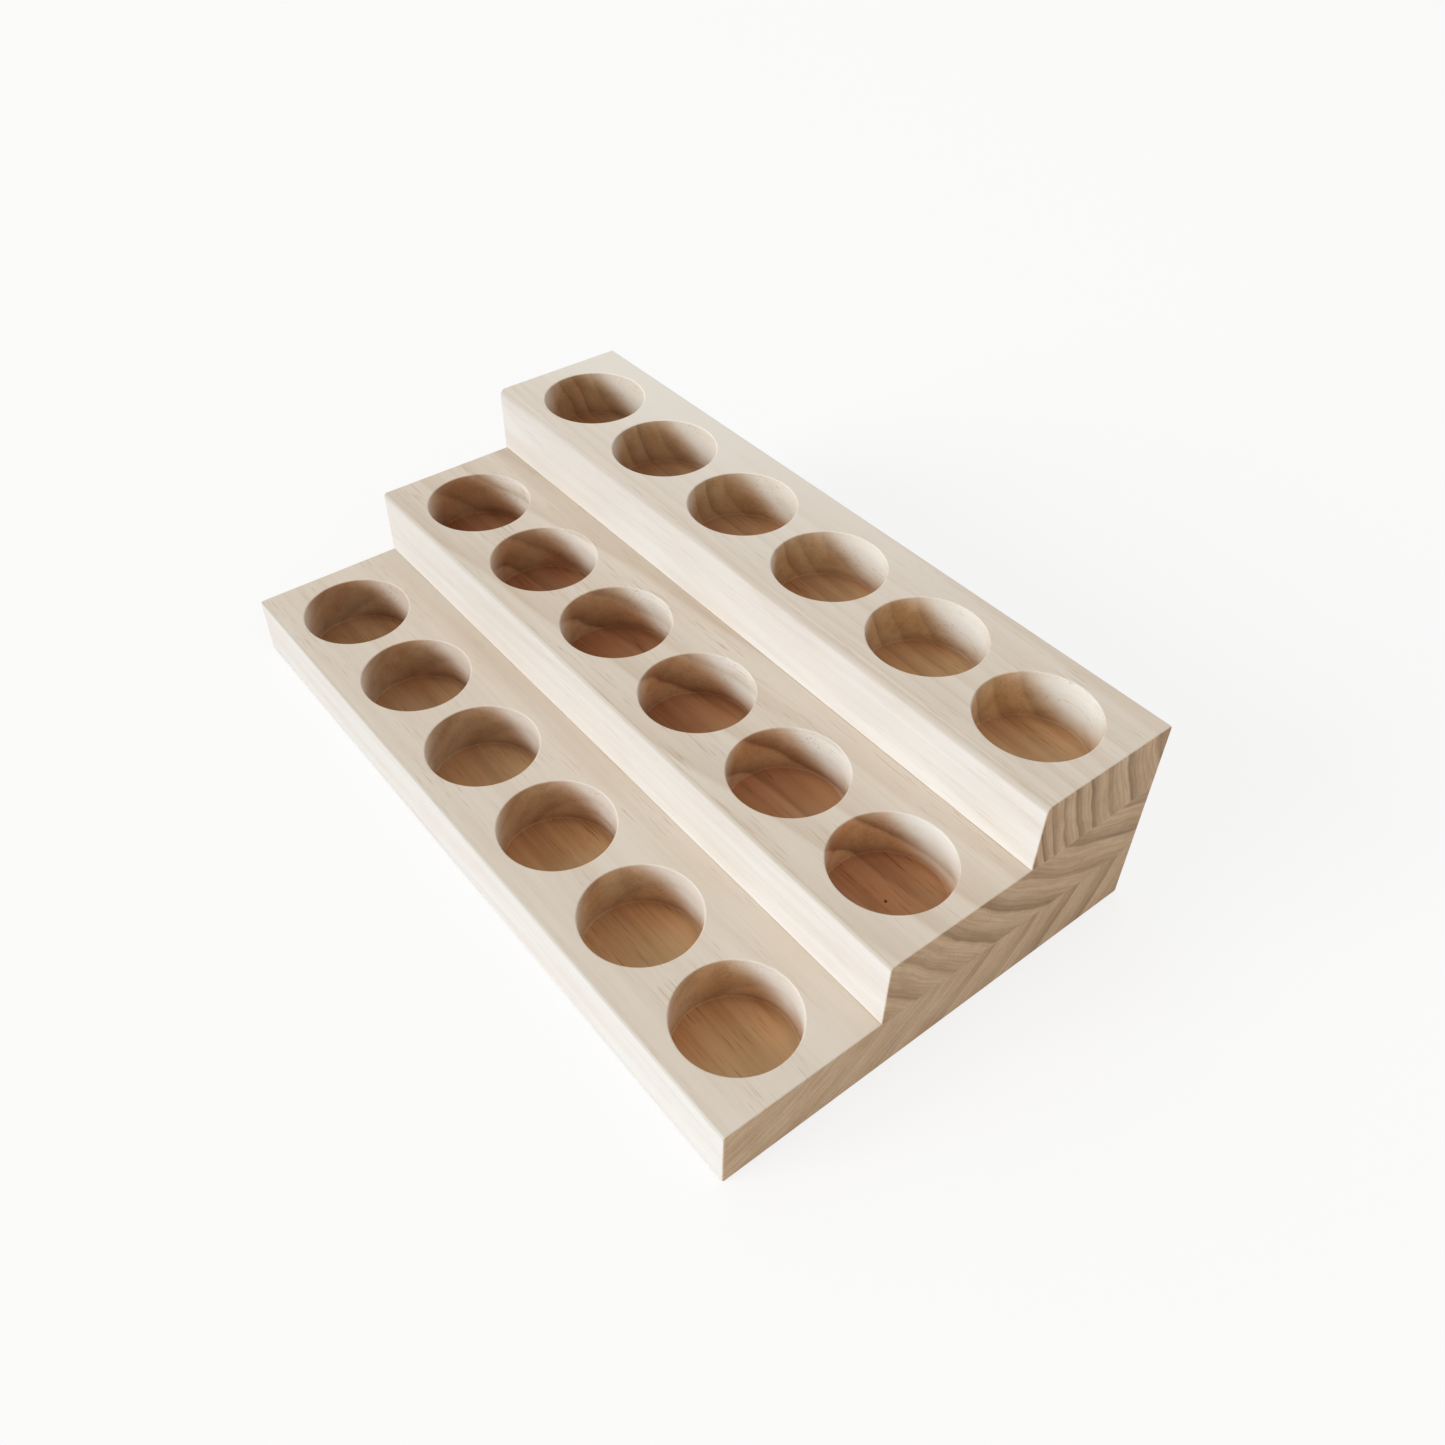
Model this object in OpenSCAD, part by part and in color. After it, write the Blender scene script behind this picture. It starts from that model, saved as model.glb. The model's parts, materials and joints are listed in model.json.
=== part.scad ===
// Stepped pot rack in pine: three boards glued face to face, flush at the back and the ends.
// Each board is narrower than the one below, and the step it leaves carries a row of blind round pockets.
// X runs along the rack, +Y to its back, +Z up; the origin is under the middle of the footprint.

/* [Pockets] */
// Diameter of the bored pockets
pocket_d = 30; // [16:0.5:45]
// Depth of the pockets below their step
pocket_depth = 14; // [6:0.5:16]
// Wood between two pockets of a row
pocket_web = 5.5; // [3:0.5:20]
// Least wood between a row of pockets and the end of its board
least_end_wall = 5; // [3:0.5:20]
// Extra depth of the first pocket of each row, bored before the depth stop is locked
first_extra = 0.05; // [0.02:0.01:0.2]
// Cove that the bit leaves round the pocket floors
cove_r = 0.4; // [0.3:0.1:2]
// Rounding of the sanded pocket lips
lip_r = 0.4; // [0.1:0.1:1.5]

/* [Boards] */
// Length of all three boards
board_l = 220; // [60:1:440]
// Wood in front of each row of pockets
front_wall = 5.5; // [4:0.5:20]
// Wood behind the pockets of the base step
base_back_wall = 8.5; // [3:0.5:30]
// Wood behind the pockets of the middle step
middle_back_wall = 7.5; // [3:0.5:30]
// Wood behind the pockets of the top step
top_back_wall = 6.5; // [3:0.5:30]
// Thickness of the base board
base_t = 18; // [15:0.5:45]
// Thickness of the middle board
middle_t = 20; // [15:0.5:45]
// Thickness of the top board
top_t = 20; // [15:0.5:45]
// Thickness of each cured glue line
glue_t = 0.2; // [0.1:0.05:0.5]

/* [Sanded edges] */
// Rounding of the front top edge of the base board
base_nose_r = 0.8; // [0.2:0.1:3]
// Rounding of the front top edge of the middle board
middle_nose_r = 1.2; // [0.2:0.1:3]
// Rounding of the front top edge of the top board
top_nose_r = 2; // [0.2:0.1:3]
// Easing of every other open edge
ease_r = 0.6; // [0.2:0.1:1.5]

/* [Hidden] */

// Facets of a full circle in the preview
$fn = 96;
// How far a cutter runs past the wood it cuts
overrun = 1;

// As many pockets as the board is long enough for, spread evenly about its middle
pocket_pitch = pocket_d + pocket_web;
pocket_count = 1 + floor((board_l - 2 * least_end_wall - pocket_d) / pocket_pitch);
row_span = (pocket_count - 1) * pocket_pitch;

// Each step is as deep as its pockets and the wood before and behind them
top_step = front_wall + pocket_d + top_back_wall;
middle_step = front_wall + pocket_d + middle_back_wall;
base_step = front_wall + pocket_d + base_back_wall;

// The fronts are stepped back from the base, and all backs share one plane
back_y = (base_step + middle_step + top_step) / 2;
base_front = -back_y;
middle_front = base_front + base_step;
top_front = middle_front + middle_step;

// Heights of the joints and of the three steps
base_top = base_t;
middle_bottom = base_top + glue_t;
middle_top = middle_bottom + middle_t;
top_bottom = middle_top + glue_t;
top_top = top_bottom + top_t;

pine_colour = [0.90, 0.83, 0.73];
glue_colour = [0.86, 0.76, 0.55];

// What sandpaper takes off a square corner whose wood lies towards [side_x, side_y]
module corner_trim(r, side_x, side_y) {
    difference() {
        square(2 * r, center = true);
        translate([side_x * r, side_y * r]) circle(r);
    }
}

// Sweeps a profile drawn in Y and Z along the whole length of a board
module along_length() {
    rotate([90, 0, 90])
        linear_extrude(board_l + 2 * overrun, center = true) children();
}

// Plan of a board or a glue line from its front to the shared back, with eased upright corners
module plan(front) {
    difference() {
        translate([-board_l / 2, front]) square([board_l, back_y - front]);
        for (side = [-1, 1]) {
            translate([side * board_l / 2, front]) corner_trim(ease_r, -side, 1);
            translate([side * board_l / 2, back_y]) corner_trim(ease_r, -side, -1);
        }
    }
}

// Rounds the front top edge of a board
module nose_trim(front, top, r) {
    along_length() translate([front, top]) corner_trim(r, 1, -1);
}

// Eases both end edges of a step, from the front of its board to the foot of the riser behind it
module step_end_trims(front, riser, height, wood_side) {
    for (side = [-1, 1])
        translate([side * board_l / 2, riser, height])
            rotate([90, 0, 0])
                linear_extrude(riser - front + overrun)
                    corner_trim(ease_r, -side, wood_side);
}

// One pocket, revolved: a flat floor with a small cove, a straight wall and a lip that flares out at the step
module pocket(depth) {
    r = pocket_d / 2;
    rotate_extrude() {
        translate([0, -depth]) square([r - cove_r, depth]);
        translate([r - cove_r, cove_r - depth]) intersection() {
            circle(cove_r);
            translate([0, -cove_r]) square(cove_r);
        }
        translate([0, cove_r - depth]) square([r, depth - cove_r + overrun]);
        difference() {
            translate([0, -lip_r]) square([r + lip_r, lip_r + overrun]);
            translate([r + lip_r, -lip_r]) circle(lip_r);
        }
    }
}

// A row of pockets in the step that starts at this front
module pocket_row(front, top) {
    for (i = [0 : pocket_count - 1])
        translate([i * pocket_pitch - row_span / 2, front + front_wall + pocket_d / 2, top])
            pocket(pocket_depth + (i == 0 ? first_extra : 0));
}

module base_board() {
    color(pine_colour) difference() {
        linear_extrude(base_t) plan(base_front);
        nose_trim(base_front, base_top, base_nose_r);
        step_end_trims(base_front, middle_front, base_top, -1);
        along_length() translate([base_front, 0]) corner_trim(ease_r, 1, 1);
        along_length() translate([back_y, 0]) corner_trim(ease_r, -1, 1);
        step_end_trims(base_front, back_y + overrun, 0, 1);
        pocket_row(base_front, base_top);
    }
}

module lower_glue_line() {
    color(glue_colour) translate([0, 0, base_top]) linear_extrude(glue_t) plan(middle_front);
}

module middle_board() {
    color(pine_colour) difference() {
        translate([0, 0, middle_bottom]) linear_extrude(middle_t) plan(middle_front);
        nose_trim(middle_front, middle_top, middle_nose_r);
        step_end_trims(middle_front, top_front, middle_top, -1);
        pocket_row(middle_front, middle_top);
    }
}

module upper_glue_line() {
    color(glue_colour) translate([0, 0, middle_top]) linear_extrude(glue_t) plan(top_front);
}

module top_board() {
    color(pine_colour) difference() {
        translate([0, 0, top_bottom]) linear_extrude(top_t) plan(top_front);
        nose_trim(top_front, top_top, top_nose_r);
        step_end_trims(top_front, back_y + overrun, top_top, -1);
        along_length() translate([back_y, top_top]) corner_trim(ease_r, -1, -1);
        pocket_row(top_front, top_top);
    }
}

base_board();
lower_glue_line();
middle_board();
upper_glue_line();
top_board();
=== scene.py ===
# %% [markdown]
# # A stepped rack of pine boards
# The rack is three pine boards glued face to face, like a short flight of stairs.
# Each stair carries six round pockets for small pots.
# Its CAD model gives every size, so the first step is to load it. The boards are then modelled
# again here, because a rendered board needs softly rounded edges and one clean skin.

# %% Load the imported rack
import json
import math

import bmesh
import bpy
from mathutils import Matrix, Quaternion, Vector


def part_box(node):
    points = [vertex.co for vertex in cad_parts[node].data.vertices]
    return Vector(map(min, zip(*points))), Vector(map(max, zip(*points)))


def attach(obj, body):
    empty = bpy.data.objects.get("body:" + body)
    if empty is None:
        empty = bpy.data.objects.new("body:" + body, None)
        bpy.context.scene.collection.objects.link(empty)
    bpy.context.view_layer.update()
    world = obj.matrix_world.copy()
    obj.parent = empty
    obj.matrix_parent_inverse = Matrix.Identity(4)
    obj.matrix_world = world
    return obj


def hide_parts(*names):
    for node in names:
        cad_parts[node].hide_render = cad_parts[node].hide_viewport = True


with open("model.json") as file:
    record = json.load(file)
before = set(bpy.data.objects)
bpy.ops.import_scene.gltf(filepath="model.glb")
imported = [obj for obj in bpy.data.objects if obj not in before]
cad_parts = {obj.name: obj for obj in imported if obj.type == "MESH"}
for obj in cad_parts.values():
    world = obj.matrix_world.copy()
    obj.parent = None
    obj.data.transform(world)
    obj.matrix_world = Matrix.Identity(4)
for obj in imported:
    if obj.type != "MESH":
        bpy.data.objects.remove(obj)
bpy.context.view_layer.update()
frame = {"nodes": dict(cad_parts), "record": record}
MM = 0.001
print("CAD nodes:", sorted(frame["nodes"]))

# %% [markdown]
# ## The camera
# The photograph looks down on the rack from its right front corner, from close by, so the near
# corner looks big and the far one small. A camera can be placed by its target, its place and a
# small roll. That is easier to read, and to change, than a full rotation matrix.

# %% Place the camera
eye = Vector((0.211571, -0.150687, 0.260698))
target = Vector((0.015805, 0.010162, 0.020000))
roll = math.radians(1.274)

camera = bpy.data.objects.new("camera", bpy.data.cameras.new("camera"))
bpy.context.scene.collection.objects.link(camera)
bpy.context.scene.camera = camera
camera.data.sensor_width = 36
camera.data.lens = 32.57
camera.location = eye
camera.rotation_mode = "QUATERNION"
camera.rotation_quaternion = (target - eye).to_track_quat("-Z", "Y") @ Quaternion((0, 0, 1), roll)
print("camera distance in mm:", round((target - eye).length / MM))

# %% [markdown]
# ## Working as at a bench
# Blender's operators act on whatever is selected, and the CAD nodes are selected after loading.
# These helpers start each job from an empty selection, then pick edges or faces by their place,
# as a maker looks for "the front top edge" and not for edge number 7.

# %% Helpers for selecting
HAIR = 0.01 * MM


def take(*objects):
    bpy.ops.object.select_all(action="DESELECT")
    for item in objects:
        item.select_set(True)
    bpy.context.view_layer.objects.active = objects[0]


def pick(board, kind, wanted):
    """In edit mode, selects only the edges or faces that pass the test."""
    bpy.ops.mesh.select_mode(type="EDGE" if kind == "edges" else "FACE")
    bpy.ops.mesh.select_all(action="DESELECT")
    mesh = bmesh.from_edit_mesh(board.data)
    found = [item for item in getattr(mesh, kind) if wanted(item)]
    for item in found:
        item.select_set(True)
    bmesh.update_edit_mesh(board.data)
    return len(found)


def near(a, b):
    return abs(a - b) < HAIR


def edge_ends(edge):
    return [v.co for v in edge.verts]


print("a place is met within mm:", HAIR / MM)

# %% [markdown]
# ## The boards before boring
# On the bench each board starts as a plain plank, cut to length and planed square. A cube at the
# plank's size is the same start. Its place is then applied, so that the object sits at the
# origin and the wood pattern later needs no shift.

# %% Saw the three blanks
NAMES = ("base_board", "middle_board", "top_board")
corners = {name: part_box(name) for name in NAMES}


def saw_blank(name):
    low, high = corners[name]
    bpy.ops.object.select_all(action="DESELECT")
    bpy.ops.mesh.primitive_cube_add(size=1, location=(low + high) / 2)
    blank = bpy.context.object
    blank.name = blank.data.name = "pine_" + name
    blank.scale = high - low
    bpy.ops.object.transform_apply(location=True, rotation=False, scale=True)
    return blank


boards = {name: saw_blank(name) for name in NAMES}
for name, blank in boards.items():
    print(name, "in mm:", [round(side / MM, 1) for side in blank.dimensions])

# %% [markdown]
# ## Sanded edges
# Sandpaper has taken the sharpness off every edge that a hand can reach. The front top edge of
# each step, its nose, is the roundest, most of all on the top board. Edges in a glue joint stay square.
# Bevel with several segments gives a true round. The long edges come first, because their radii
# differ, and the end edges then follow round them in one run.

# %% Round the long edges
NOSE_R = {"base_board": 0.8 * MM, "middle_board": 1.2 * MM, "top_board": 2.0 * MM}
EASE_R = 0.6 * MM
NOSE_STEPS, EASE_STEPS = 8, 5


def round_long_edges(name, radius, steps, *places):
    """Bevels the edges along X at the given (y, z) places."""

    def wanted(edge):
        ends = edge_ends(edge)
        return any(all(near(co.y, y) and near(co.z, z) for co in ends) for y, z in places)

    take(boards[name])
    bpy.ops.object.mode_set(mode="EDIT")
    pick(boards[name], "edges", wanted)
    bpy.ops.mesh.bevel(offset=radius, segments=steps, affect="EDGES")
    bpy.ops.object.mode_set(mode="OBJECT")


for name in NAMES:
    low, high = corners[name]
    round_long_edges(name, NOSE_R[name], NOSE_STEPS, (low.y, high.z))
low, high = corners["base_board"]
round_long_edges("base_board", EASE_R, EASE_STEPS, (low.y, low.z), (high.y, low.z))
low, high = corners["top_board"]
round_long_edges("top_board", EASE_R, EASE_STEPS, (high.y, high.z))
print("faces after the long edges:", [len(b.data.polygons) for b in boards.values()])

# %% [markdown]
# The end edges are open only as far as the foot of the riser behind a step. Under the next board
# the edge is glued, and sanding never reaches it. A bisect at the riser cuts the edge there, and
# the bevel then stops at the cut. The top board has no riser behind it and is open all along.

# %% Ease the end edges
RISER = {"base_board": corners["middle_board"][0].y, "middle_board": corners["top_board"][0].y}
END_EASE_R = 0.5 * MM


def riser_of(name):
    return RISER.get(name, math.inf)


def ease_ends(name):
    board, (low, high), riser = boards[name], corners[name], riser_of(name)

    def open_end_edge(edge):
        a, b = edge_ends(edge)
        if not (near(abs(a.x), high.x) and near(a.x, b.x)):
            return False
        if near(a.y, riser) and near(b.y, riser):
            return False
        y, z = (a.y + b.y) / 2, (a.z + b.z) / 2
        under_glue = name != "base_board" and near(z, low.z)
        covered = near(z, high.z) and y > riser
        return not (under_glue or covered)

    take(board)
    bpy.ops.object.mode_set(mode="EDIT")
    if name in RISER:
        bpy.ops.mesh.select_all(action="SELECT")
        bpy.ops.mesh.bisect(plane_co=(0, riser, 0), plane_no=(0, 1, 0))
    count = pick(board, "edges", open_end_edge)
    bpy.ops.mesh.bevel(offset=END_EASE_R, segments=EASE_STEPS, affect="EDGES")
    bpy.ops.object.mode_set(mode="OBJECT")
    return count


print("end edges eased:", {name: ease_ends(name) for name in NAMES})

# %% [markdown]
# ## One pocket
# A flat-bottomed bit leaves a straight wall, a flat floor and a tiny cove where they meet, and
# sandpaper then rounds the lip. Seen from the side that is one line, and the bit turns it round its axis.
# Spin does the same: half of the outline is drawn once, from the middle of the floor up to the lip,
# and swept once round. The pocket is made at the origin, with its lip at height 0, ready to be copied.

# %% Draw the outline and spin it
mounts = {m["name"]: m for m in frame["record"]["mounts"]}
POCKET_R = mounts["base_pocket_2"]["dims"]["r_mm"] * MM
COVE_R = LIP_R = 0.4 * MM
COVE_STEPS, LIP_STEPS, FACETS = 4, 5, 120
FLOOR_RING, WALL_RINGS = 0.5, (0.66, 0.33)
WELD = 0.001 * MM


def arc(middle, radius, start, stop, steps):
    """Points (r, z) on a quarter round, without its first point."""
    angles = [math.radians(start + (stop - start) * k / steps) for k in range(1, steps + 1)]
    return [(middle[0] + radius * math.cos(a), middle[1] + radius * math.sin(a)) for a in angles]


def outline(depth, point=()):
    """From the middle of the floor to the lip; point is what the tip of the bit leaves in the floor."""
    return [
        *(point or [(0, -depth)]),
        (POCKET_R * FLOOR_RING, -depth),
        (POCKET_R - COVE_R, -depth),
        *arc((POCKET_R - COVE_R, COVE_R - depth), COVE_R, -90, 0, COVE_STEPS),
        *[(POCKET_R, -depth * share) for share in WALL_RINGS],
        (POCKET_R, -LIP_R),
        *arc((POCKET_R + LIP_R, -LIP_R), LIP_R, 180, 90, LIP_STEPS),
    ]


def spin_pocket(line):
    bpy.ops.object.select_all(action="DESELECT")
    bpy.ops.mesh.primitive_plane_add(size=MM, location=(0, 0, 0))
    pocket = bpy.context.object
    bpy.ops.object.mode_set(mode="EDIT")
    bpy.ops.mesh.select_mode(type="VERT")
    bpy.ops.mesh.merge(type="CENTER")
    bpy.ops.transform.translate(value=(line[0][0], 0, line[0][1]))
    for (r, z), (next_r, next_z) in zip(line, line[1:]):
        step = (next_r - r, 0, next_z - z)
        bpy.ops.mesh.extrude_region_move(TRANSFORM_OT_translate={"value": step})
    bpy.ops.mesh.select_all(action="SELECT")
    bpy.ops.mesh.spin(steps=FACETS, angle=math.tau, center=(0, 0, 0), axis=(0, 0, 1))
    bpy.ops.mesh.select_all(action="SELECT")
    bpy.ops.mesh.remove_doubles(threshold=WELD)
    bpy.ops.object.mode_set(mode="OBJECT")
    return pocket


print("pocket radius in mm:", round(POCKET_R / MM, 2))

# %% [markdown]
# Each kind of pocket is spun once, and every place gets a copy with a mesh of its own. The record's
# mounts say where the pockets are and how deep they go. The first of each row is a hair deeper, and
# the floor of one, the last of the middle row, keeps the prick of the bit's centre point.

# %% Copy a pocket to its place
PRICKED = "middle_pocket_6"
PRICK_R, PRICK_DEPTH = 0.55 * MM, 0.9 * MM
spun = {}


def copy_pocket(mount, step_top):
    depth = mount["dims"]["length_mm"] * MM + LIP_R + COVE_R
    pricked = mount["name"] == PRICKED
    kind = round(depth / MM, 3), pricked
    if kind not in spun:
        tip = [(0, -depth - PRICK_DEPTH), (PRICK_R, -depth)] if pricked else ()
        spun[kind] = spin_pocket(outline(depth, tip))
    take(spun[kind])
    bpy.ops.object.duplicate()
    pocket = bpy.context.object
    pocket.location = (*mount["pos_m"][:2], step_top)
    bpy.ops.object.transform_apply(location=True, rotation=False, scale=False)
    return pocket


print("pockets to copy:", sum("_pocket_" in name for name in mounts))

# %% [markdown]
# ## Boring the rows
# Six pockets sit in each step, evenly spaced. Boring could be a Boolean, but a skin that is
# stitched in keeps every rim an exact circle and leaves no slivers. So the flat of the step is
# taken away, the six copies are joined to the board, and Fill closes the flat round their lips.

# %% Stitch the pockets into the boards
LOOKS_UP = 0.999


def bore_row(name):
    board, top, riser = boards[name], corners[name][1].z, riser_of(name)
    row = [m for n, m in sorted(mounts.items()) if n.startswith(name.replace("board", "pocket"))]

    def flat_of_step(face):
        middle = face.calc_center_median()
        return face.normal.z > LOOKS_UP and near(middle.z, top) and middle.y < riser

    take(board)
    bpy.ops.object.mode_set(mode="EDIT")
    pick(board, "faces", flat_of_step)
    bpy.ops.mesh.delete(type="ONLY_FACE")
    bpy.ops.object.mode_set(mode="OBJECT")
    pockets = [copy_pocket(mount, top) for mount in row]
    take(board, *pockets)
    bpy.ops.object.join()
    bpy.ops.object.mode_set(mode="EDIT")
    bpy.ops.mesh.select_mode(type="EDGE")
    bpy.ops.mesh.select_all(action="DESELECT")
    bpy.ops.mesh.select_non_manifold(use_multi_face=False, use_non_contiguous=False, use_verts=False)
    bpy.ops.mesh.fill(use_beauty=True)
    bpy.ops.mesh.select_all(action="SELECT")
    bpy.ops.mesh.normals_make_consistent(inside=False)
    bpy.ops.object.mode_set(mode="OBJECT")
    return len(row)


for name in NAMES:
    print(name, "pockets:", bore_row(name), "faces:", len(boards[name].data.polygons))
take(*spun.values())
bpy.ops.object.delete()
print("kinds of pocket:", sorted(spun))

# %% [markdown]
# ## Smooth rounds, flat flats
# Smooth shading makes the small facets of the pockets and rounds look like one curve, but on its
# own it also bends the light on the flat faces beside them. A Weighted Normal modifier lets the
# big flat face win at each shared corner, so flats stay flat and only the rounds are blended.
# Where an eased end edge runs out at the foot of a riser, its last edges are marked sharp.

# %% Finish the shading
SMOOTH_ANGLE = math.radians(40)


def finish_shading(name):
    board, top = boards[name], corners[name][1]

    def at_run_out(edge):
        run_out = RISER[name] + END_EASE_R
        return any(near(abs(co.x), top.x) and near(co.y, run_out) and near(co.z, top.z)
                   for co in edge_ends(edge))

    take(board)
    bpy.ops.object.shade_smooth_by_angle(angle=SMOOTH_ANGLE)
    if name in RISER:
        bpy.ops.object.mode_set(mode="EDIT")
        pick(board, "edges", at_run_out)
        bpy.ops.mesh.mark_sharp()
        bpy.ops.object.mode_set(mode="OBJECT")
    bpy.ops.object.modifier_add(type="WEIGHTED_NORMAL")
    board.modifiers[-1].keep_sharp = True
    bpy.ops.object.modifier_apply(modifier=board.modifiers[-1].name)


for name, board in boards.items():
    finish_shading(name)
    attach(board, "root")
    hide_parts(name)
print("boards ready:", sorted(b.name for b in boards.values()))

# %% [markdown]
# ## How the wood is painted
# Pine gets its pattern from the log it was sawn from. A picture wrapped round the board would break at
# the edges, but a pattern worked out in all three directions runs through the wood, so the rings on
# an end line up with the lines on the top and inside the pockets. It is built from small nodes,
# and these helpers add them. All places and lengths in the materials are in mm.
# Each board gets a material of its own, empty at first, because its rings lie in another place.

# %% Helpers for materials
def new_material(name):
    """A material with its node tree and its main shader."""
    made = bpy.data.materials.new(name)
    made.use_nodes = True
    return made, made.node_tree, made.node_tree.nodes["Principled BSDF"]


def node(tree, kind, sockets=None, **settings):
    """Adds one shader node; a socket gets a value or another node's output."""
    made = tree.nodes.new("ShaderNode" + kind)
    for name, value in settings.items():
        setattr(made, name, value)
    for name, value in (sockets or {}).items():
        if isinstance(value, bpy.types.NodeSocket):
            tree.links.new(value, made.inputs[name])
        else:
            made.inputs[name].default_value = value
    return made


def xyz(tree, vector):
    return node(tree, "SeparateXYZ", {0: vector}).outputs


def in_mm(tree, place):
    return node(tree, "VectorMath", {0: place, "Scale": 1 / MM}, operation="SCALE").outputs[0]


finishes = {name: new_material("pine_" + name) for name in NAMES}
print("empty finishes:", [made.name for made, _, _ in finishes.values()])

# %% [markdown]
# Numbers come first. Most of what follows is a share between 0 and 1: how far a spot is an end, how deep
# it lies, how dark its ring is. A soft ramp turns a place or a direction into such a share, and shares
# are multiplied where several conditions have to hold. A hard step would draw a line on the wood.

# %% Helpers for numbers
def calc(tree, operation, *values):
    return node(tree, "Math", dict(enumerate(values)), operation=operation).outputs[0]


def times(tree, first, *others):
    for value in others:
        first = calc(tree, "MULTIPLY", first, value)
    return first


def grow(tree, value, factor, start):
    """The start, and the value taken factor times on top of it."""
    return calc(tree, "MULTIPLY_ADD", value, factor, start)


def ramp(tree, value, low, high, out_low=0.0, out_high=1.0):
    """Goes softly from out_low to out_high while the value goes from low to high."""
    sockets = {"Value": value, "From Min": low, "From Max": high, "To Min": out_low, "To Max": out_high}
    return node(tree, "MapRange", sockets, interpolation_type="SMOOTHSTEP").outputs[0]


def fall(tree, value, low, high):
    """Goes softly from 1 to 0 while the value goes from low to high."""
    return ramp(tree, value, low, high, 1.0, 0.0)


def between(tree, share, first, second):
    """Goes from the first number to the second while share goes from 0 to 1."""
    return node(tree, "Mix", {0: share, 2: first, 3: second}).outputs[0]


print("number helpers:", [helper.__name__ for helper in (calc, times, grow, ramp, fall, between)])

# %% [markdown]
# Colours can be mixed or stained. A stain multiplies, as a thin glaze does, so the pattern below it still
# shows. Noise gives what is left to chance, and stretching it along the board makes it look like fibres.

# %% Helpers for colours and noise
def blend(tree, share, first, second, how="MIX"):
    """Goes from the first colour to the second while share goes from 0 to 1."""
    return node(tree, "Mix", {0: share, 6: first, 7: second}, data_type="RGBA", blend_type=how).outputs[2]


def stain(tree, colour, share, tint):
    """Multiplies the colour by the tint, as far as share says."""
    return blend(tree, share, colour, (*tint, 1), "MULTIPLY")


def grain_noise(tree, place, lengths, detail=2.0):
    """Soft noise whose blotches have these lengths along X, Y and Z."""
    shrink = [1 / length for length in lengths]
    stretched = node(tree, "VectorMath", {0: place, 1: shrink}, operation="MULTIPLY").outputs[0]
    return node(tree, "TexNoise", {"Vector": stretched, "Scale": 1.0, "Detail": detail}).outputs[0]


print("colour helpers:", [helper.__name__ for helper in (blend, stain, grain_noise)])

# %% [markdown]
# ## Growth rings
# A tree adds one ring a year: pale wood in spring that turns slowly darker, then a sharp stop.
# Each board comes from another place in the log, so its rings curve about another middle line,
# the pith, outside the board. The places and ring widths here follow the lines on the rack's right end.
# A ring number is worked out from the distance to the pith, and its fraction runs from spring to autumn.
# A slow sway along the board and a small wobble keep the rings from being perfect circles.

# %% Where each board lay in the log
LOG = {
    "base_board": {"pith": (-88.5, 93.0), "drift": 0.03,
                   "first": 115.8, "width": 12.7, "narrowing": 0.0},
    "middle_board": {"pith": (99.5, 135.0), "drift": 0.13,
                     "first": 107.7, "width": 9.3, "narrowing": 0.0001},
    "top_board": {"pith": (139.5, 83.0), "drift": -0.04,
                  "first": 84.5, "width": 15.2, "narrowing": 0.00334},
}
RIGHT_END = 110.0
NOISE_SPAN = (0.2, 0.8)
SWAY, SWAY_LENGTHS = 3.0, (150, 40, 40)
CALMING, CALM_SWAY = (20, RIGHT_END), 0.2
WOBBLE, WOBBLE_LENGTHS = 0.35, (60, 10, 10)


def around_pith(tree, place, log):
    """Distance across and up from the pith, and the radius of the ring."""
    x, y, z = xyz(tree, place)
    slant = times(tree, calc(tree, "SUBTRACT", x, RIGHT_END), log["drift"])
    across = calc(tree, "SUBTRACT", calc(tree, "SUBTRACT", y, slant), log["pith"][0])
    up = calc(tree, "SUBTRACT", z, log["pith"][1])
    radius = calc(tree, "SQRT", grow(tree, across, across, times(tree, up, up)))
    sway = ramp(tree, grain_noise(tree, place, SWAY_LENGTHS), *NOISE_SPAN, -SWAY, SWAY)
    sway = times(tree, sway, ramp(tree, x, *CALMING, 1.0, CALM_SWAY))
    wobble = ramp(tree, grain_noise(tree, place, WOBBLE_LENGTHS, 1), *NOISE_SPAN, -WOBBLE, WOBBLE)
    return across, up, calc(tree, "ADD", radius, calc(tree, "ADD", sway, wobble))


print("ring widths in mm:", {name: log["width"] for name, log in LOG.items()})

# %% [markdown]
# A wave could darken the rings evenly, but real ones darken slowly and stop at once. So the darkness is a
# colour ramp over the fraction, whose stops can be set by eye, and some years come out weaker than
# others. Noise that is stretched along the rings adds the fine lines that lie between them.

# %% Draw the rings
SEASONS = ((0.0, 0.2), (0.06, 0.0), (0.3, 0.1), (0.55, 0.36), (0.78, 0.72), (0.92, 1.0), (1.0, 0.2))
WEAKEST_YEAR = 0.6
LINE_LENGTHS, LINE_SPAN = (60, 16, 0.8), (0.4, 0.62)


def darkness_in_year(tree, fraction):
    season = node(tree, "ValToRGB", {0: fraction})
    stops = season.color_ramp.elements
    for k, (where, dark) in enumerate(SEASONS):
        stop = stops[k] if k < 2 else stops.new(where)
        stop.position = where
        stop.color = (dark, dark, dark, 1)
    return season.outputs[0]


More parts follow.
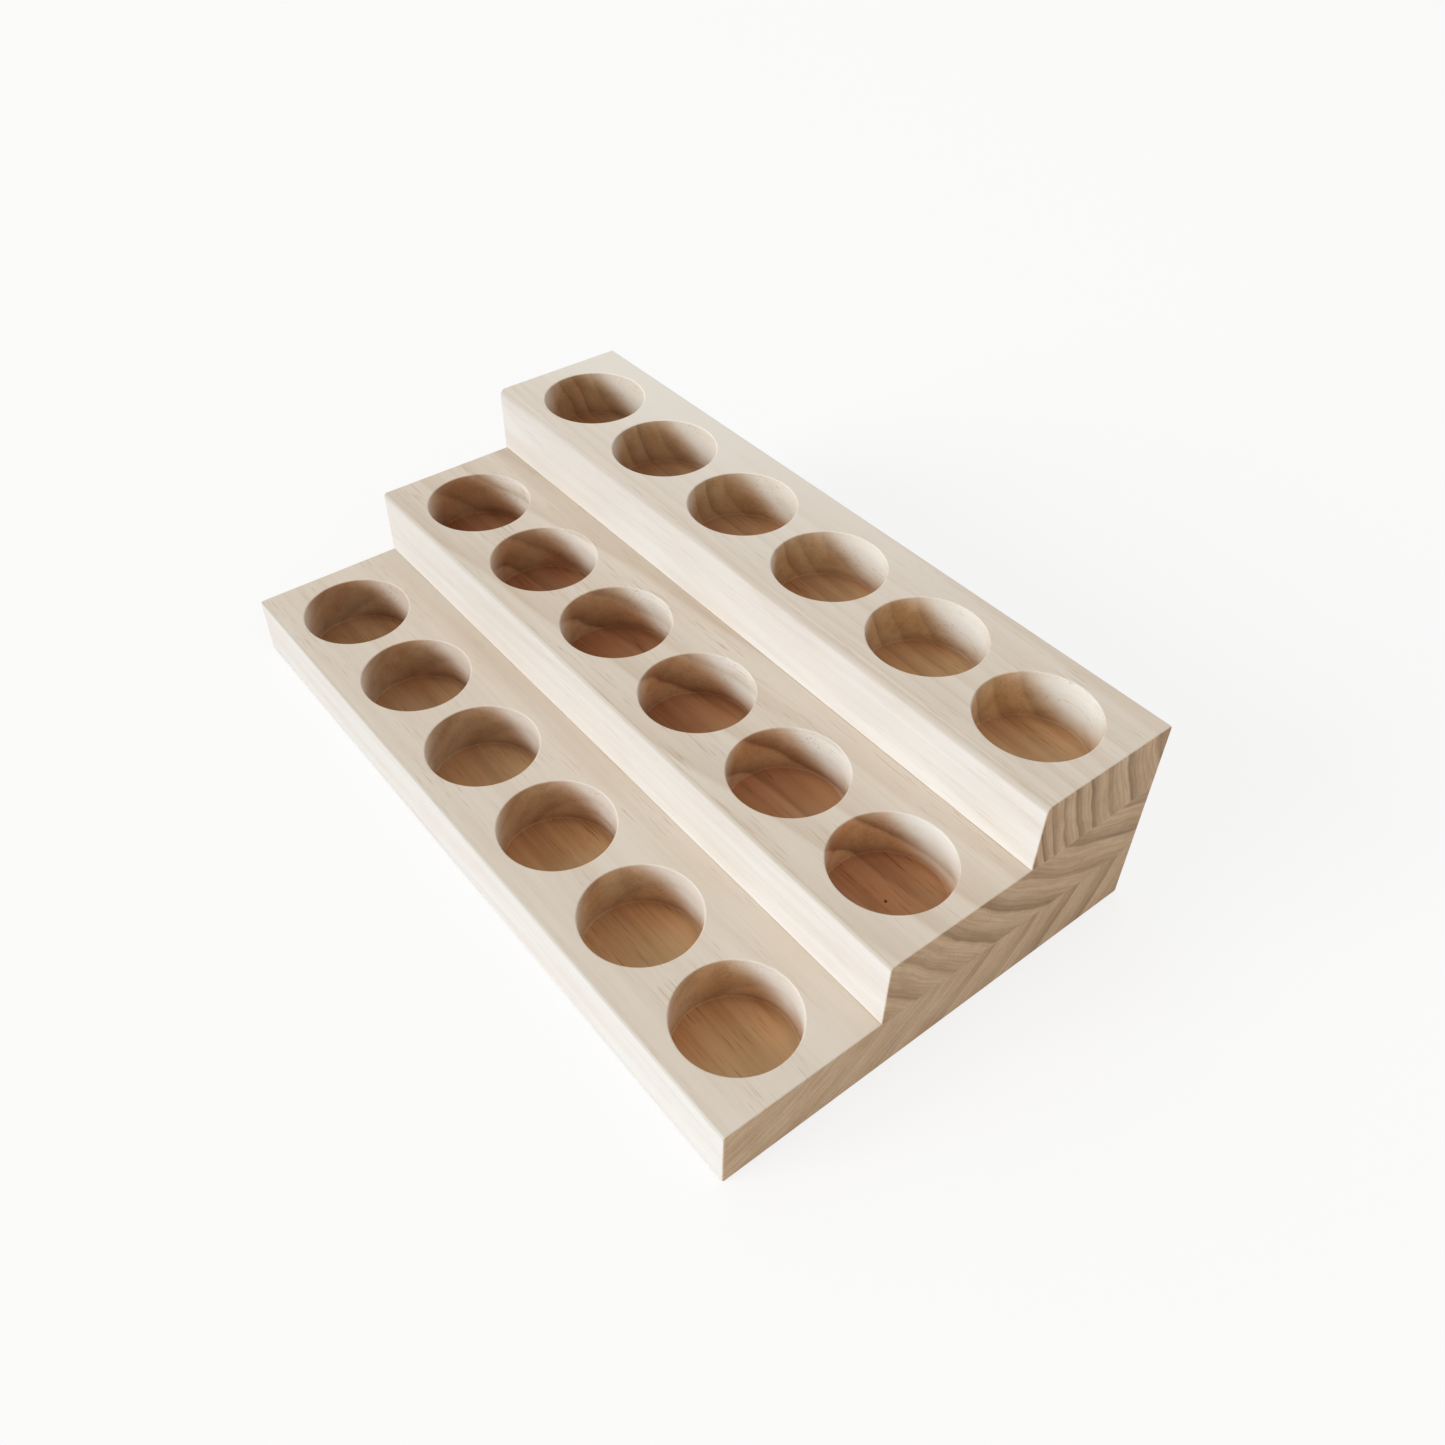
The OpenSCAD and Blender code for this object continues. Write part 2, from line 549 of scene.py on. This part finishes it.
def growth_rings(tree, place, log):
    """How late and dark the wood is, 0 in spring and 1 at the end of a ring; then the fine lines."""
    across, up, radius = around_pith(tree, place, log)
    beyond = calc(tree, "SUBTRACT", radius, log["first"])
    bend = times(tree, beyond, beyond, log["narrowing"])
    number = calc(tree, "ADD", calc(tree, "DIVIDE", beyond, log["width"]), bend)
    dark = darkness_in_year(tree, calc(tree, "FRACT", number))
    year = node(tree, "TexWhiteNoise", {"W": calc(tree, "FLOOR", number)}, noise_dimensions="1D")
    rings = times(tree, dark, ramp(tree, year.outputs[0], 0.0, 1.0, WEAKEST_YEAR, 1.0))
    round_pith = times(tree, calc(tree, "ARCTAN2", across, up), log["first"])
    along_rings = node(tree, "CombineXYZ", {0: xyz(tree, place)[0], 1: round_pith, 2: radius}).outputs[0]
    return rings, ramp(tree, grain_noise(tree, along_rings, LINE_LENGTHS), *LINE_SPAN)


print("seasons in a ring:", len(SEASONS))

# %% [markdown]
# ## Where the pockets are
# Bored wood gets its own finish, so the material has to know where the pockets are. They repeat at
# one pitch, and the fraction of x over the pitch finds the nearest axis. The distance to that axis and
# the depth below the step do the rest, so one small pattern serves all six pockets of a row.

# %% Find the nearest pocket
PITCH = mounts["base_pocket_2"]["pos_m"][0] / MM - mounts["base_pocket_1"]["pos_m"][0] / MM
HALF_ROW = 3 * PITCH
SLACK, DEEPEST = 0.2, 15.5


def near_pockets(tree, name, place):
    """From the nearest axis: distance, place along and across the row; then depth, and 1 if inside."""
    x, y, z = xyz(tree, place)
    turns = calc(tree, "FRACT", calc(tree, "DIVIDE", x, PITCH))
    off_axis = times(tree, calc(tree, "SUBTRACT", turns, 0.5), PITCH)
    row_y = mounts[name.replace("board", "pocket_2")]["pos_m"][1] / MM
    off_row = calc(tree, "SUBTRACT", y, row_y)
    away = calc(tree, "SQRT", grow(tree, off_axis, off_axis, times(tree, off_row, off_row)))
    depth = calc(tree, "SUBTRACT", corners[name][1].z / MM, z)
    in_round = calc(tree, "LESS_THAN", away, POCKET_R / MM + SLACK)
    in_row = calc(tree, "LESS_THAN", calc(tree, "ABSOLUTE", x), HALF_ROW)
    below_lip = calc(tree, "GREATER_THAN", depth, SLACK)
    above_floor = calc(tree, "LESS_THAN", depth, DEEPEST)
    return away, off_axis, off_row, depth, times(tree, in_round, in_row, below_lip, above_floor)


print("pitch of the pockets in mm:", round(PITCH, 2))

# %% [markdown]
# ## How a pocket was cut
# The inside of a pocket is brown on its floor and where the bit crossed the fibres. That brown is partly
# the cut fibres and partly painted shade: it is stronger on the walls that face the right end, which lie in
# shade, and lower down more than at the lip. Painted shade darkens the corner at the foot of the wall still
# more. Each pocket could be painted by hand, but these shares follow from the direction of the wall and the
# depth, so all pockets of a row come out alike.

# %% Shares of the cuts in a pocket
FACING_RIGHT_SHADE, CROSSED, PLAIN = 0.35, 0.3, 0.5
CLEAN = {"base_board": 0.28, "middle_board": 0.38, "top_board": 0.38}
NEAR_SIDE = {"base_board": 0.08, "middle_board": 0.15, "top_board": -0.1}
PER_MM, PER_MM_NEAR, LEAST_PER_MM = 0.075, -0.14, 0.012
TEARING, DEEPER_SHADE = (0.2, 1.0), (7.5, 16.5)
LOW, TOWARDS_NEAR = (6, 12), (-0.3, 0.3)
MOST_TORN, LESS_LOW_NEAR = 0.92, -0.12
CORNER_SHADE = {"base_board": 0.5, "middle_board": 0.4, "top_board": 0.3}
CORNER_AWAY, CORNER_DEPTH, CORNER_BACK = (12.0, 14.9), (11.0, 13.8), (-4, 13)
CORNER_ALONG, LEAST_CORNER_SHADE = (-4, 11), 0.15


def tear_and_shade_share(tree, name, facing, depth):
    nx, ny, _ = facing
    along, near_side = calc(tree, "ABSOLUTE", nx), calc(tree, "MAXIMUM", ny, 0.0)
    # Painted shade: walls facing the right end lie in shade and get browner, and all walls get browner with
    # depth.
    crossed = grow(tree, nx, FACING_RIGHT_SHADE, grow(tree, along, CROSSED, PLAIN))
    crossed = grow(tree, crossed, along, -CLEAN[name])
    crossed = grow(tree, near_side, NEAR_SIDE[name], crossed)
    deeper = calc(tree, "MAXIMUM", grow(tree, near_side, PER_MM_NEAR, PER_MM), LEAST_PER_MM)
    crossed = grow(tree, depth, deeper, crossed)
    torn_and_shaded = calc(tree, "MAXIMUM", ramp(tree, crossed, *TEARING), ramp(tree, depth, *DEEPER_SHADE))
    low_near = times(tree, ramp(tree, depth, *LOW), ramp(tree, ny, *TOWARDS_NEAR))
    return times(tree, torn_and_shaded, grow(tree, low_near, LESS_LOW_NEAR, MOST_TORN))


# Painted shade in the corner where the wall meets the floor, strongest at the back of each pocket.
def corner_shade_share(tree, name, away, off_axis, off_row, depth):
    at_foot = times(tree, ramp(tree, away, *CORNER_AWAY), ramp(tree, depth, *CORNER_DEPTH))
    at_back = ramp(tree, off_row, *CORNER_BACK, 0.0, CORNER_SHADE[name])
    return times(tree, at_foot, at_back, ramp(tree, off_axis, *CORNER_ALONG, 1.0, LEAST_CORNER_SHADE))


print("how far the feet are rubbed:", CORNER_SHADE)

# %% [markdown]
# ## How each face was cut
# The same wood looks different on each face. The sanded flats are creamy, and the ends darker and warmer,
# because there the open fibres swallow the light. The long front edges and the back walls of the pockets,
# which face the window, are paler, partly as edge grain and partly as painted light.
# The noses get painted shade, which tones down the highlight that the window puts on them, so they are a
# little darker than the faces they join.
# The direction that a face looks, and its place in the pocket, tell these apart.

# %% Shares of each cut
FLOOR_LOOKS, LIT_WALL_LOOKS = (0.3, 0.9), (-0.95, -0.5)
LIT_FRONT_LOOKS, END_LOOKS = (-0.6, -0.15), (0.35, 0.9)
NOSE_LOOKS_FRONT, NOSE_LOOKS_UP, NOSE_REACH = (-0.35, -0.05), (0.0, 0.55), 3.0
FLOOR_BORED = 0.94


def nose_share(tree, name, place, facing):
    at_front = calc(tree, "LESS_THAN", xyz(tree, place)[1], corners[name][0].y / MM + NOSE_REACH)
    turned = fall(tree, facing[1], *NOSE_LOOKS_FRONT)
    return times(tree, at_front, turned, ramp(tree, facing[2], *NOSE_LOOKS_UP))


def cut_of_faces(tree, name, place, normal):
    """Shares, from 0 to 1, of every kind of cut, with the depth and the place along the row."""
    facing = xyz(tree, normal)
    nx, ny, nz = facing
    away, off_axis, off_row, depth, inside = near_pockets(tree, name, place)
    outside = calc(tree, "SUBTRACT", 1.0, inside)
    floor = times(tree, inside, ramp(tree, nz, *FLOOR_LOOKS))
    # Painted shade, partly cut fibres: this share browns the pocket walls and floors, more so deeper down
    # and on walls facing the right end.
    torn_and_shaded = times(tree, inside, tear_and_shade_share(tree, name, facing, depth))
    bored = calc(tree, "MAXIMUM", torn_and_shaded, times(tree, floor, FLOOR_BORED))
    shaded = times(tree, corner_shade_share(tree, name, away, off_axis, off_row, depth), inside)
    wall = times(tree, fall(tree, ny, *LIT_WALL_LOOKS), inside)
    edge = times(tree, fall(tree, ny, *LIT_FRONT_LOOKS), outside)
    end = times(tree, ramp(tree, calc(tree, "ABSOLUTE", nx), *END_LOOKS), outside)
    nose = nose_share(tree, name, place, facing)
    return {"end": end, "edge": edge, "nose": nose, "wall": wall, "floor": floor, "bored": bored,
            "shaded": shaded, "depth": depth, "off_axis": off_axis}


def by_cut(tree, cut, flat, bored, end):
    """A number that differs between the flats, the bored wood and the ends."""
    return between(tree, cut["end"], between(tree, cut["bored"], flat, bored), end)


print("a nose reaches back in mm:", NOSE_REACH)

# %% [markdown]
# ## Two colours for each cut
# Early wood and late wood have a colour each, for every kind of cut, and the rings mix them.
# How strongly the rings show differs too: they are clear on the ends, soft on the flats and almost
# gone on the long edges. Blending the colours by the shares keeps every border soft.

# %% Colour the rings
# The colours inside the pockets are browner, partly for the cut fibres and partly as painted shade.
# The edge and wall colours are paler, partly as edge grain and partly as painted light on the faces toward
# the window.
EARLY = {"flat": (0.76, 0.684, 0.589), "edge": (0.757, 0.746, 0.724), "wall": (0.83, 0.835, 0.79),
         "end": (0.672, 0.497, 0.331), "bored": (0.742, 0.469, 0.235)}
LATE = {"flat": (0.60, 0.485, 0.365), "edge": (0.68, 0.62, 0.555), "wall": (0.55, 0.45, 0.34),
        "end": (0.32, 0.20, 0.112), "bored": (0.30, 0.145, 0.057)}
CLEAR = {"base_board": {"flat": 0.28, "wall": 0.3, "front_end": 0.2, "end": 0.72, "bored": 0.55},
         "middle_board": {"flat": 0.6, "wall": 0.7, "front_end": 0.8, "end": 0.95, "bored": 0.9},
         "top_board": {"flat": 0.4, "wall": 0.15, "front_end": 1.0, "end": 1.0, "bored": 0.55}}
EDGE_CLEAR, LESS_ON_FLOOR = 0.3, -0.45
END_FADE = (-30, 40)
BASE_WALL_SHADE = {"base_board": (0.96, 0.935, 0.925)}


def ring_strength(tree, name, y, cut):
    shown = CLEAR[name]
    clear = between(tree, cut["edge"], shown["flat"], EDGE_CLEAR)
    clear = between(tree, cut["wall"], clear, shown["wall"])
    on_end = ramp(tree, y, *END_FADE, shown["front_end"], shown["end"])
    clear = between(tree, cut["end"], clear, on_end)
    clear = between(tree, cut["bored"], clear, shown["bored"])
    return times(tree, clear, grow(tree, cut["floor"], LESS_ON_FLOOR, 1.0))


def ring_colour(tree, name, y, rings, cut):
    colours = []
    for season in (EARLY, LATE):
        colour = (*season["flat"], 1)
        for kind in ("edge", "wall", "end", "bored"):
            colour = blend(tree, cut[kind], colour, (*season[kind], 1))
        colours.append(colour)
    colour = blend(tree, times(tree, rings, ring_strength(tree, name, y, cut)), *colours)
    # Painted shade on the lit back walls of the base pockets.
    if name in BASE_WALL_SHADE:
        colour = stain(tree, colour, cut["wall"], BASE_WALL_SHADE[name])
    return colour


print("cuts with colours of their own:", list(EARLY))

# %% [markdown]
# ## Streaks, tone and ducts
# Wood is never even. Long streaks follow the fibres, the tone changes slowly, and short dark dashes
# are cut resin ducts. Each is a noise that is stretched along the board, and it stains the colour by
# multiplying it. The fine streaks are handed back as well, because the finish needs them.

# %% Streak the wood
FINE_LENGTHS, BROAD_LENGTHS, STREAK_DETAIL = (35, 0.8, 0.8), (70, 4, 4), 3
FINE_PART, BROAD_PART, STREAK_SPAN = 0.35, 0.65, (0.4, 0.66)
STREAKS = {"flat": 0.17, "bored": 0.5, "end": 0.22}
LINES = {"flat": 0.0, "bored": 0.2, "end": 0.85}
TONE = {"flat": 0.15, "bored": 0.9, "end": 0.3}
TONE_LENGTHS, TONE_SPAN = (30, 13, 13), (0.38, 0.62)
STREAK_TINT, LINE_TINT, TONE_TINT = (0.68, 0.58, 0.48), (0.84, 0.79, 0.735), (0.94, 0.83, 0.74)
DUCT_LENGTHS, DUCT_SPAN = (10, 0.4, 0.4), (0.61, 0.72)
CLUSTER_LENGTHS, CLUSTER_SPAN = (40, 9, 9), (0.42, 0.6)
DUCTS_ABOVE_FLOOR, DUCTS_ON_EDGE = 0.45, 0.5
DUCT_TINT = (0.58, 0.44, 0.32)


def duct_share(tree, place, cut):
    ducts = ramp(tree, grain_noise(tree, place, DUCT_LENGTHS, 1), *DUCT_SPAN)
    clusters = ramp(tree, grain_noise(tree, place, CLUSTER_LENGTHS, 1), *CLUSTER_SPAN)
    on_floor = between(tree, cut["floor"], DUCTS_ABOVE_FLOOR, 1.0)
    return times(tree, ducts, clusters, on_floor, between(tree, cut["edge"], 1.0, DUCTS_ON_EDGE))


def streak_wood(tree, place, lines, colour, cut):
    fine = grain_noise(tree, place, FINE_LENGTHS, STREAK_DETAIL)
    broad = grain_noise(tree, place, BROAD_LENGTHS, STREAK_DETAIL)
    streaks = grow(tree, fine, FINE_PART, times(tree, broad, BROAD_PART))
    streaks = times(tree, ramp(tree, streaks, *STREAK_SPAN), by_cut(tree, cut, **STREAKS))
    colour = stain(tree, colour, streaks, STREAK_TINT)
    colour = stain(tree, colour, times(tree, lines, by_cut(tree, cut, **LINES)), LINE_TINT)
    tone = ramp(tree, grain_noise(tree, place, TONE_LENGTHS, 1), *TONE_SPAN)
    colour = stain(tree, colour, times(tree, tone, by_cut(tree, cut, **TONE)), TONE_TINT)
    return stain(tree, colour, duct_share(tree, place, cut), DUCT_TINT), fine


print("streaks on flats, in pockets, on ends:", list(STREAKS.values()))

# %% [markdown]
# ## Browner and paler places
# Towards its left end the pockets get painted shade, as the light falls off there. Each pocket floor gets
# painted shade on its left and painted light on its right, where light from the lit wall falls on it. Each
# row has a tone of its own, which inside the pockets is partly painted shade. These are slow changes with
# place, so they are ramps and not noise.

# %% Stain the pockets by place
ROW_TONE_AND_SHADE = {"base_board": {"floor": (1.0, 1.0, 1.0), "side": (0.86, 0.89, 0.97)},
          "middle_board": {"floor": (0.83, 0.68, 0.65), "side": (0.90, 0.83, 0.82)},
          "top_board": {"floor": (0.935, 0.91, 0.92), "side": (0.94, 0.985, 1.0)}}
LEFT_WALL_SHADE = {"base_board": (0.84, 0.765, 0.715), "middle_board": (0.97, 0.93, 0.90),
             "top_board": (0.90, 0.85, 0.81)}
LEFT_POCKET_SHADE, CORNER_SHADE_TINT, PRICK_TINT = (0.65, 0.605, 0.59), (0.52, 0.42, 0.36), (0.25, 0.2, 0.2)
FLOOR_SHADE_TINT, FLOOR_SHADE_SIDE = (0.95, 0.86, 0.83), (-13, 2)
FLOOR_LIGHT_COLOUR, FLOOR_LIGHT_SIDE, MOST_FLOOR_LIGHT = (0.70, 0.53, 0.31), (-3, 11), 0.6
BELOW_FLOOR = (14.1, 14.4)


def stain_pockets(tree, name, left, colour, cut):
    floor, bored, off_axis = cut["floor"], cut["bored"], cut["off_axis"]
    # Painted shade towards the left end, where the light falls off, on the lit walls and inside the
    # pockets.
    colour = stain(tree, colour, times(tree, left, cut["wall"]), LEFT_WALL_SHADE[name])
    colour = stain(tree, colour, times(tree, left, bored), LEFT_POCKET_SHADE)
    # Painted shade on the left of each floor and painted light on its right, where the lit wall throws
    # light down.
    colour = stain(tree, colour, times(tree, floor, fall(tree, off_axis, *FLOOR_SHADE_SIDE)), FLOOR_SHADE_TINT)
    floor_light = times(tree, floor, ramp(tree, off_axis, *FLOOR_LIGHT_SIDE, 0.0, MOST_FLOOR_LIGHT))
    colour = blend(tree, floor_light, colour, (*FLOOR_LIGHT_COLOUR, 1))
    # Each row's own tint inside its pockets, partly row tone and partly painted shade.
    colour = stain(tree, colour, floor, ROW_TONE_AND_SHADE[name]["floor"])
    sides = times(tree, bored, calc(tree, "SUBTRACT", 1.0, floor))
    colour = stain(tree, colour, sides, ROW_TONE_AND_SHADE[name]["side"])
    # Painted shade in the corner at the foot of each pocket wall.
    colour = stain(tree, colour, cut["shaded"], CORNER_SHADE_TINT)
    pricked = times(tree, bored, ramp(tree, cut["depth"], *BELOW_FLOOR))
    return stain(tree, colour, pricked, PRICK_TINT)


print("rows with a tone of their own:", list(ROW_TONE_AND_SHADE))

# %% [markdown]
# Outside the pockets the long edges get painted shade towards the left end, where the light falls off. The
# noses get painted shade, some more at one end than at the other, and a band of painted shade runs along
# the foot of each riser. The top board turns paler towards its back and its left end. Noise would put these
# places anywhere, so they are ramps as well, along and across the rack.

# %% Stain the outside by place
LEFT_EDGE_SHADE, RISER_FOOT_SHADE = (0.91, 0.90, 0.89), (0.86, 0.85, 0.83)
NOSE_SHADE_TINT = {"base_board": (0.74, 0.725, 0.665), "middle_board": (0.75, 0.71, 0.635),
             "top_board": (0.745, 0.69, 0.62)}
NOSE_SHADE_SHARE = {"base_board": (0.57, 1.0), "middle_board": (1.0, 0.65), "top_board": (1.0, 0.6)}
FOOT_FROM, FOOT_FULL, FOOT_AT_RIGHT = 8, 1, 0.2
PALER_BACK_TINT, PALER_BACK_SIDE, LEAST_PALER_BACK = (0.85, 0.80, 0.725), (15, 60), 0.2


def stain_outside(tree, name, y, left, colour, cut):
    # Painted shade on the long front edges towards the left end, where the light falls off.
    colour = stain(tree, colour, times(tree, left, cut["edge"]), LEFT_EDGE_SHADE)
    # Painted shade on the noses, which tones down the window's highlight on them.
    nose = times(tree, cut["nose"], between(tree, left, *NOSE_SHADE_SHARE[name]))
    colour = stain(tree, colour, nose, NOSE_SHADE_TINT[name])
    on_flat = calc(tree, "LESS_THAN", cut["depth"], SLACK)
    if name in RISER:
        riser = RISER[name] / MM
        # A band of painted shade along the foot of the riser, weaker towards the right end.
        foot = times(tree, on_flat, ramp(tree, y, riser - FOOT_FROM, riser - FOOT_FULL))
        foot = times(tree, foot, ramp(tree, left, 0.0, 1.0, FOOT_AT_RIGHT, 1.0))
        return stain(tree, colour, foot, RISER_FOOT_SHADE)
    # The top board is paler towards its back and its left end.
    paler_back = times(tree, on_flat, left, ramp(tree, y, *PALER_BACK_SIDE, LEAST_PALER_BACK, 1.0))
    return blend(tree, paler_back, colour, (*PALER_BACK_TINT, 1))


print("risers at y in mm:", {name: round(y / MM, 1) for name, y in RISER.items()})

# %% [markdown]
# ## The finish
# Everything meets in one material for each board. Bare sanded pine is dull, so it is rough and hardly
# shines. The fine streaks also drive the roughness and a faint bump, which is stronger
# where the fibres are cut across.

# %% Mix the pine
PINE_ROUGHNESS, PINE_SHINE = (0.56, 0.74), 0.22
PINE_RELIEF = {"flat": 0.35, "rough": 1.0}
PINE_BUMP, PINE_BUMP_DEPTH = 0.25, 0.15 * MM


def pine(name):
    made, tree, shader = finishes[name]
    coords = node(tree, "TexCoord").outputs
    place = in_mm(tree, coords["Object"])
    x, y, _ = xyz(tree, place)
    left = fall(tree, x, -RIGHT_END, RIGHT_END)
    cut = cut_of_faces(tree, name, place, coords["Normal"])
    rings, lines = growth_rings(tree, place, LOG[name])
    colour = ring_colour(tree, name, y, rings, cut)
    colour, fine = streak_wood(tree, place, lines, colour, cut)
    colour = stain_pockets(tree, name, left, colour, cut)
    colour = stain_outside(tree, name, y, left, colour, cut)
    tree.links.new(colour, shader.inputs["Base Color"])
    tree.links.new(ramp(tree, fine, *NOISE_SPAN, *PINE_ROUGHNESS), shader.inputs["Roughness"])
    shader.inputs["Specular IOR Level"].default_value = PINE_SHINE
    rough = calc(tree, "MAXIMUM", cut["end"], cut["bored"])
    relief = times(tree, fine, between(tree, rough, PINE_RELIEF["flat"], PINE_RELIEF["rough"]))
    bump = node(tree, "Bump", {"Height": relief, "Strength": PINE_BUMP, "Distance": PINE_BUMP_DEPTH})
    tree.links.new(bump.outputs[0], shader.inputs["Normal"])
    return made


for name, board in boards.items():
    board.data.materials.clear()
    board.data.materials.append(pine(name))
    print(name, "finish nodes:", len(board.active_material.node_tree.nodes))

# %% [markdown]
# ## Glue
# The boards are held by wood glue alone. Only its edge shows, as a hairline where two boards meet on
# the ends, at the back and at the foot of each riser. Dried glue is darker and a little shinier than
# the wood. The CAD films already have the right shape, so they stay and only get a finish.

# %% Finish the glue lines
GLUE_LINES = ("lower_glue_line", "upper_glue_line")
GLUE_PALE, GLUE_DARK = (0.50, 0.40, 0.28, 1), (0.36, 0.27, 0.17, 1)
CLOT_LENGTHS, CLOT_SPAN = (12, 3, 3), (0.3, 0.7)
GLUE_ROUGHNESS = (0.35, 0.55)
GLUE_BUMP, GLUE_BUMP_DEPTH = 0.2, 0.1 * MM


def wood_glue():
    made, tree, shader = new_material("wood_glue")
    place = in_mm(tree, node(tree, "TexCoord").outputs["Object"])
    clots = grain_noise(tree, place, CLOT_LENGTHS)
    colour = blend(tree, ramp(tree, clots, *CLOT_SPAN), GLUE_PALE, GLUE_DARK)
    tree.links.new(colour, shader.inputs["Base Color"])
    tree.links.new(ramp(tree, clots, *CLOT_SPAN, *GLUE_ROUGHNESS), shader.inputs["Roughness"])
    bump = node(tree, "Bump", {"Height": clots, "Strength": GLUE_BUMP, "Distance": GLUE_BUMP_DEPTH})
    tree.links.new(bump.outputs[0], shader.inputs["Normal"])
    return made


dried = wood_glue()
for name in GLUE_LINES:
    for slot in bpy.data.objects[name].material_slots:
        slot.material = dried
print("glue lines finished:", GLUE_LINES)

# %% [markdown]
# ## The floor
# The rack stands on white paper. A floor that is lit until it looks white would also throw too much
# light back up at the wood. So what is seen and what lights the rack are kept apart: for the camera,
# and in anything shiny or clear, the paper glows a little, and for all other rays it is a plain light
# grey. The camera still sees enough of the lit paper to show the soft shadow of the rack.

# %% Lay the paper
PAPER_SIDE, PAPER_GLOW = 12, 0.78
PAPER_GREY, PAPER_WHITE, WHITE = (0.62, 0.62, 0.62, 1), (0.95, 0.95, 0.95, 1), (1, 1, 1, 1)

bpy.ops.object.select_all(action="DESELECT")
bpy.ops.mesh.primitive_plane_add(size=PAPER_SIDE, location=(0, 0, 0))
paper = bpy.context.object
paper.name = "paper"


def seen_rays(tree):
    """1 for rays from the camera, straight or by way of a shiny or clear surface, and 0 for the rest."""
    rays = node(tree, "LightPath").outputs
    by_way = calc(tree, "MAXIMUM", rays["Is Glossy Ray"], rays["Is Transmission Ray"])
    return calc(tree, "MAXIMUM", rays["Is Camera Ray"], by_way)


def paper_white():
    made, tree, shader = new_material("paper_white")
    shader.inputs["Roughness"].default_value = 1
    shader.inputs["Specular IOR Level"].default_value = 0
    seen = seen_rays(tree)
    tree.links.new(blend(tree, seen, PAPER_GREY, PAPER_WHITE), shader.inputs["Base Color"])
    glow = node(tree, "Emission", {"Color": WHITE, "Strength": 1.0})
    share = times(tree, seen, PAPER_GLOW)
    mixed = node(tree, "MixShader", {0: share, 1: shader.outputs[0], 2: glow.outputs[0]})
    tree.links.new(mixed.outputs[0], tree.nodes["Material Output"].inputs["Surface"])
    return made


paper.data.materials.append(paper_white())
print("paper in m:", round(paper.dimensions.x), "by", round(paper.dimensions.y))

# %% [markdown]
# ## The light
# The room fills the shadows. An even world would light the pocket floors too well, so it is brighter at the
# horizon than overhead, and the floors stay dark, as they are in the photograph. What is seen of
# the world is plain white, in the same way as the paper.

# %% Light the room
ROOM_TINT = (1, 0.985, 0.96, 1)
AT_HORIZON, OVERHEAD = 1.0, 0.5

room = bpy.data.worlds.new("room")
bpy.context.scene.world = room
room.use_nodes = True
tree = room.node_tree
soft = tree.nodes["Background"]
soft.inputs["Color"].default_value = ROOM_TINT
height = xyz(tree, node(tree, "TexCoord").outputs["Generated"])[2]
fade = {"Value": height, "From Min": 0.0, "From Max": 1.0, "To Min": AT_HORIZON, "To Max": OVERHEAD}
tree.links.new(node(tree, "MapRange", fade).outputs[0], soft.inputs["Strength"])
white = node(tree, "Background", {"Color": WHITE, "Strength": 1.0})
mixed = node(tree, "MixShader", {0: seen_rays(tree), 1: soft.outputs[0], 2: white.outputs[0]})
tree.links.new(mixed.outputs[0], tree.nodes["World Output"].inputs["Surface"])
print("room nodes:", len(tree.nodes))

# %% [markdown]
# In the photograph the risers and the back walls of the pockets are bright, and their left walls are
# dark. So most light comes low from the front, a little from the left, out of a wide soft window. A sun
# lamp would draw hard shadows, and a large area lamp far away gives soft ones.

# %% Hang the window
WINDOW_SIDE, WINDOW_AWAY, WINDOW_POWER = 3.2, 6.0, 240
lift, turn = math.radians(20.5), math.radians(254)
toward = Vector((math.cos(lift) * math.cos(turn), math.cos(lift) * math.sin(turn), math.sin(lift)))

window = bpy.data.objects.new("window", bpy.data.lights.new("window", "AREA"))
bpy.context.scene.collection.objects.link(window)
window.data.shape = "SQUARE"
window.data.size = WINDOW_SIDE
window.data.energy = WINDOW_POWER
window.location = WINDOW_AWAY * toward
window.rotation_mode = "QUATERNION"
window.rotation_quaternion = (-toward).to_track_quat("-Z", "Y")
print("window at m:", [round(c, 2) for c in window.location])

# %% [markdown]
# ## The view
# Standard view keeps the colours as they were mixed.

# %% Set the view
bpy.context.scene.view_settings.view_transform = "Standard"
